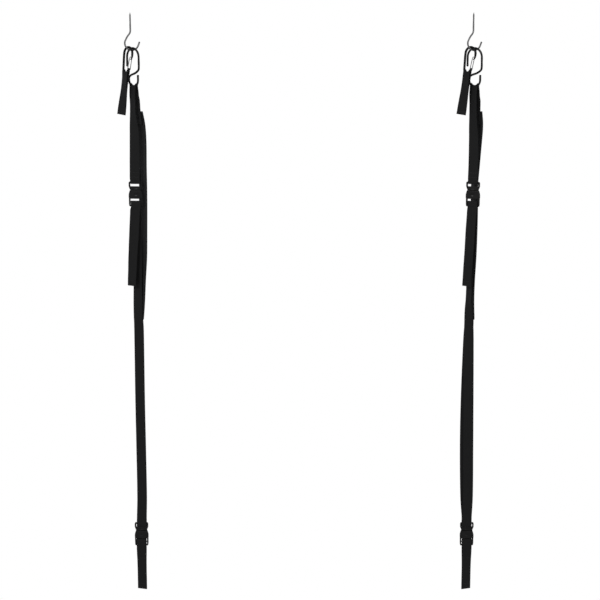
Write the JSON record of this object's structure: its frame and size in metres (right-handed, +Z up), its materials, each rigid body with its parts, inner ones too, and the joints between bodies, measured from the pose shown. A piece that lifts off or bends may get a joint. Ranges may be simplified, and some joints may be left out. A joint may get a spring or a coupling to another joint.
{
  "type": "pair of webbing carrying straps on hooks",
  "caption": "Padded black webbing shoulder straps with side release buckles and wire gate carabiners, each hung by an S-hook from a screw hook.",
  "frame": {"origin": "midway between the two screw hooks, at the underside of the beam they are screwed into", "axes": "+Z up along the hooks, +X to the right seen from the front, the front faces -Y"},
  "size_m": [0.9094, 0.0634, 1.4907],
  "materials": {
    "left_adjuster_tail": "black woven nylon webbing",
    "left_adjuster_wrap": "black woven nylon webbing",
    "left_back_webbing": "black woven nylon webbing",
    "left_bottom_end": "black woven nylon webbing",
    "left_bottom_wrap": "black woven nylon webbing",
    "left_carabiner_body": "black anodised rod, satin",
    "left_carabiner_gate": "polished stainless wire",
    "left_front_webbing": "black woven nylon webbing",
    "left_load_run": "black woven nylon webbing",
    "left_lower_buckle_female": "black moulded acetal, fine texture",
    "left_lower_buckle_male": "black moulded acetal, fine texture",
    "left_lower_latch_arm_left": "black moulded acetal, fine texture",
    "left_lower_latch_arm_right": "black moulded acetal, fine texture",
    "left_lower_webbing": "black woven nylon webbing",
    "left_pad_backing": "black packcloth",
    "left_pad_binding_left": "black woven nylon webbing",
    "left_pad_binding_right": "black woven nylon webbing",
    "left_pad_face": "black packcloth",
    "left_pad_foam": "soft closed cell foam, dark grey",
    "left_s_hook": "black dipped vinyl over steel",
    "left_screw_hook": "dull zinc plated wire",
    "left_sling_loop": "black woven nylon webbing",
    "left_tether_loop": "black woven nylon webbing",
    "left_tether_tab": "black woven nylon webbing",
    "left_upper_buckle_female": "black moulded acetal, fine texture",
    "left_upper_buckle_male": "black moulded acetal, fine texture",
    "left_upper_latch_arm_left": "black moulded acetal, fine texture",
    "left_upper_latch_arm_right": "black moulded acetal, fine texture",
    "right_adjuster_tail": "black woven nylon webbing",
    "right_adjuster_wrap": "black woven nylon webbing",
    "right_back_webbing": "black woven nylon webbing",
    "right_bottom_end": "black woven nylon webbing",
    "right_bottom_wrap": "black woven nylon webbing",
    "right_carabiner_body": "black anodised rod, satin",
    "right_carabiner_gate": "polished stainless wire",
    "right_front_webbing": "black woven nylon webbing",
    "right_load_run": "black woven nylon webbing",
    "right_lower_buckle_female": "black moulded acetal, fine texture",
    "right_lower_buckle_male": "black moulded acetal, fine texture",
    "right_lower_latch_arm_left": "black moulded acetal, fine texture",
    "right_lower_latch_arm_right": "black moulded acetal, fine texture",
    "right_lower_webbing": "black woven nylon webbing",
    "right_pad_backing": "black packcloth",
    "right_pad_binding_left": "black woven nylon webbing",
    "right_pad_binding_right": "black woven nylon webbing",
    "right_pad_face": "black packcloth",
    "right_pad_foam": "soft closed cell foam, dark grey",
    "right_s_hook": "black dipped vinyl over steel",
    "right_screw_hook": "dull zinc plated wire",
    "right_sling_loop": "black woven nylon webbing",
    "right_tether_loop": "black woven nylon webbing",
    "right_tether_tab": "black woven nylon webbing",
    "right_upper_buckle_female": "black moulded acetal, fine texture",
    "right_upper_buckle_male": "black moulded acetal, fine texture",
    "right_upper_latch_arm_left": "black moulded acetal, fine texture",
    "right_upper_latch_arm_right": "black moulded acetal, fine texture"
  },
  "bodies": {
    "screw_hooks": {"left_screw_hook": "left_screw_hook", "right_screw_hook": "right_screw_hook"},
    "left_hanger": {"left_s_hook": "left_s_hook", "left_sling_loop": "left_sling_loop"},
    "left_sling": {"left_front_webbing": "left_front_webbing", "left_back_webbing": "left_back_webbing", "left_pad_foam": "left_pad_foam", "left_pad_face": "left_pad_face", "left_pad_backing": "left_pad_backing", "left_pad_binding_left": "left_pad_binding_left", "left_pad_binding_right": "left_pad_binding_right", "left_load_run": "left_load_run", "left_upper_buckle_male": "left_upper_buckle_male"},
    "left_upper_arm_left": {"left_upper_latch_arm_left": "left_upper_latch_arm_left"},
    "left_upper_arm_right": {"left_upper_latch_arm_right": "left_upper_latch_arm_right"},
    "left_upper_female": {"left_upper_buckle_female": "left_upper_buckle_female", "left_adjuster_wrap": "left_adjuster_wrap"},
    "left_tail": {"left_adjuster_tail": "left_adjuster_tail"},
    "left_lower_leg": {"left_lower_webbing": "left_lower_webbing", "left_lower_buckle_male": "left_lower_buckle_male"},
    "left_lower_arm_left": {"left_lower_latch_arm_left": "left_lower_latch_arm_left"},
    "left_lower_arm_right": {"left_lower_latch_arm_right": "left_lower_latch_arm_right"},
    "left_lower_female": {"left_lower_buckle_female": "left_lower_buckle_female", "left_bottom_wrap": "left_bottom_wrap"},
    "left_bottom_end": {"left_bottom_end": "left_bottom_end"},
    "left_carabiner": {"left_carabiner_body": "left_carabiner_body", "left_tether_loop": "left_tether_loop"},
    "left_gate": {"left_carabiner_gate": "left_carabiner_gate"},
    "left_tab": {"left_tether_tab": "left_tether_tab"},
    "right_hanger": {"right_s_hook": "right_s_hook", "right_sling_loop": "right_sling_loop"},
    "right_sling": {"right_front_webbing": "right_front_webbing", "right_back_webbing": "right_back_webbing", "right_pad_foam": "right_pad_foam", "right_pad_face": "right_pad_face", "right_pad_backing": "right_pad_backing", "right_pad_binding_left": "right_pad_binding_left", "right_pad_binding_right": "right_pad_binding_right", "right_load_run": "right_load_run", "right_upper_buckle_male": "right_upper_buckle_male"},
    "right_upper_arm_left": {"right_upper_latch_arm_left": "right_upper_latch_arm_left"},
    "right_upper_arm_right": {"right_upper_latch_arm_right": "right_upper_latch_arm_right"},
    "right_upper_female": {"right_upper_buckle_female": "right_upper_buckle_female", "right_adjuster_wrap": "right_adjuster_wrap"},
    "right_tail": {"right_adjuster_tail": "right_adjuster_tail"},
    "right_lower_leg": {"right_lower_webbing": "right_lower_webbing", "right_lower_buckle_male": "right_lower_buckle_male"},
    "right_lower_arm_left": {"right_lower_latch_arm_left": "right_lower_latch_arm_left"},
    "right_lower_arm_right": {"right_lower_latch_arm_right": "right_lower_latch_arm_right"},
    "right_lower_female": {"right_lower_buckle_female": "right_lower_buckle_female", "right_bottom_wrap": "right_bottom_wrap"},
    "right_bottom_end": {"right_bottom_end": "right_bottom_end"},
    "right_carabiner": {"right_carabiner_body": "right_carabiner_body", "right_tether_loop": "right_tether_loop"},
    "right_gate": {"right_carabiner_gate": "right_carabiner_gate"},
    "right_tab": {"right_tether_tab": "right_tether_tab"}
  },
  "joints": [
    {"name": "left_s_hook_swing", "type": "hinge", "parent": "screw_hooks", "child": "left_hanger", "pos_m": [-0.4162, 0.00175, -0.05837], "axis": [0.9397, 0.342, 0], "range_deg": [-25, 25]},
    {"name": "left_sling_swing", "type": "hinge", "parent": "left_hanger", "child": "left_sling", "pos_m": [-0.4162, 0.00175, -0.166], "axis": [0.6428, -0.766, 0], "range_deg": [-12, 35]},
    {"name": "left_upper_arm_left_squeeze", "type": "hinge", "parent": "left_sling", "child": "left_upper_arm_left", "pos_m": [-0.42466, -0.0061, -0.4055], "axis": [-0.0872, -0.9962, 0], "range_deg": [0, 20], "stiffness_Nm_per_rad": 0.02},
    {"name": "left_upper_arm_right_squeeze", "type": "hinge", "parent": "left_sling", "child": "left_upper_arm_right", "pos_m": [-0.40414, -0.0079, -0.4055], "axis": [0.0872, 0.9962, 0], "range_deg": [0, 20], "stiffness_Nm_per_rad": 0.02},
    {"name": "left_upper_buckle_release", "type": "slide", "parent": "left_sling", "child": "left_upper_female", "axis": [0, 0, -1], "range_m": [0, 0.026], "deforming": ["left_upper_latch_arm_left", "left_upper_latch_arm_right", "left_load_run"]},
    {"name": "left_tail_lift", "type": "hinge", "parent": "left_upper_female", "child": "left_tail", "pos_m": [-0.41466, -0.00999, -0.4481], "axis": [-0.9962, 0.0872, 0], "range_deg": [0, 100]},
    {"name": "left_lower_leg_swing", "type": "hinge", "parent": "left_sling", "child": "left_lower_leg", "pos_m": [-0.4136, -0.0016, -0.7356], "axis": [1, 0, 0], "range_deg": [-38, 38]},
    {"name": "left_lower_arm_left_squeeze", "type": "hinge", "parent": "left_lower_leg", "child": "left_lower_arm_left", "pos_m": [-0.42728, -0.00228, -1.2964], "axis": [-0.0698, -0.9976, 0], "range_deg": [0, 20], "stiffness_Nm_per_rad": 0.02},
    {"name": "left_lower_arm_right_squeeze", "type": "hinge", "parent": "left_lower_leg", "child": "left_lower_arm_right", "pos_m": [-0.40673, -0.00372, -1.2964], "axis": [0.0698, 0.9976, 0], "range_deg": [0, 20], "stiffness_Nm_per_rad": 0.02},
    {"name": "left_lower_buckle_release", "type": "slide", "parent": "left_lower_leg", "child": "left_lower_female", "axis": [0, 0, -1], "range_m": [0, 0.026], "deforming": ["left_lower_latch_arm_left", "left_lower_latch_arm_right"]},
    {"name": "left_bottom_end_swing", "type": "hinge", "parent": "left_lower_female", "child": "left_bottom_end", "pos_m": [-0.417, -0.003, -1.339], "axis": [0.9976, -0.0698, 0], "range_deg": [-50, 50]},
    {"name": "left_carabiner_swing", "type": "hinge", "parent": "screw_hooks", "child": "left_carabiner", "pos_m": [-0.4242, -0.00117, -0.05729], "axis": [0.9397, 0.342, 0], "range_deg": [-20, 20]},
    {"name": "left_gate_open", "type": "hinge", "parent": "left_carabiner", "child": "left_gate", "pos_m": [-0.42595, -0.00605, -0.1059], "axis": [-0.7033, -0.7057, 0.0853], "range_deg": [0, 24], "stiffness_Nm_per_rad": 0.01, "springref_deg": -17.19},
    {"name": "left_tab_swing", "type": "hinge", "parent": "left_carabiner", "child": "left_tab", "pos_m": [-0.4355, 0.00092, -0.12636], "axis": [0.5369, -0.8407, -0.0697], "range_deg": [-50, 5]},
    {"name": "right_s_hook_swing", "type": "hinge", "parent": "screw_hooks", "child": "right_hanger", "pos_m": [0.4258, 0.00175, -0.05837], "axis": [0.9397, 0.342, 0], "range_deg": [-25, 25]},
    {"name": "right_sling_swing", "type": "hinge", "parent": "right_hanger", "child": "right_sling", "pos_m": [0.4258, 0.00175, -0.166], "axis": [0.6428, -0.766, 0], "range_deg": [-12, 35]},
    {"name": "right_upper_arm_left_squeeze", "type": "hinge", "parent": "right_sling", "child": "right_upper_arm_left", "pos_m": [0.41746, -0.00765, -0.4055], "axis": [-0.4226, -0.9063, 0], "range_deg": [0, 20], "stiffness_Nm_per_rad": 0.02},
    {"name": "right_upper_arm_right_squeeze", "type": "hinge", "parent": "right_sling", "child": "right_upper_arm_right", "pos_m": [0.43613, -0.01635, -0.4055], "axis": [0.4226, 0.9063, 0], "range_deg": [0, 20], "stiffness_Nm_per_rad": 0.02},
    {"name": "right_upper_buckle_release", "type": "slide", "parent": "right_sling", "child": "right_upper_female", "axis": [0, 0, -1], "range_m": [0, 0.026], "deforming": ["right_upper_latch_arm_left", "right_upper_latch_arm_right", "right_load_run"]},
    {"name": "right_tail_lift", "type": "hinge", "parent": "right_upper_female", "child": "right_tail", "pos_m": [0.42553, -0.01472, -0.4481], "axis": [-0.9063, 0.4226, 0], "range_deg": [0, 100]},
    {"name": "right_lower_leg_swing", "type": "hinge", "parent": "right_sling", "child": "right_lower_leg", "pos_m": [0.4244, -0.0017, -0.7356], "axis": [1, 0, 0], "range_deg": [-38, 38]},
    {"name": "right_lower_arm_left_squeeze", "type": "hinge", "parent": "right_lower_leg", "child": "right_lower_arm_left", "pos_m": [0.41931, -0.00354, -1.2964], "axis": [0.0523, -0.9986, 0], "range_deg": [0, 20], "stiffness_Nm_per_rad": 0.02},
    {"name": "right_lower_arm_right_squeeze", "type": "hinge", "parent": "right_lower_leg", "child": "right_lower_arm_right", "pos_m": [0.43989, -0.00246, -1.2964], "axis": [-0.0523, 0.9986, 0], "range_deg": [0, 20], "stiffness_Nm_per_rad": 0.02},
    {"name": "right_lower_buckle_release", "type": "slide", "parent": "right_lower_leg", "child": "right_lower_female", "axis": [0, 0, -1], "range_m": [0, 0.026], "deforming": ["right_lower_latch_arm_left", "right_lower_latch_arm_right"]},
    {"name": "right_bottom_end_swing", "type": "hinge", "parent": "right_lower_female", "child": "right_bottom_end", "pos_m": [0.4296, -0.003, -1.339], "axis": [0.9986, 0.0523, 0], "range_deg": [-50, 50]},
    {"name": "right_carabiner_swing", "type": "hinge", "parent": "screw_hooks", "child": "right_carabiner", "pos_m": [0.4178, -0.00117, -0.05729], "axis": [0.9397, 0.342, 0], "range_deg": [-20, 20]},
    {"name": "right_gate_open", "type": "hinge", "parent": "right_carabiner", "child": "right_gate", "pos_m": [0.41605, -0.00605, -0.1059], "axis": [-0.7033, -0.7057, 0.0853], "range_deg": [0, 24], "stiffness_Nm_per_rad": 0.01, "springref_deg": -17.19},
    {"name": "right_tab_swing", "type": "hinge", "parent": "right_carabiner", "child": "right_tab", "pos_m": [0.4065, 0.00092, -0.12636], "axis": [0.5369, -0.8407, -0.0697], "range_deg": [-50, 5]}
  ]
}
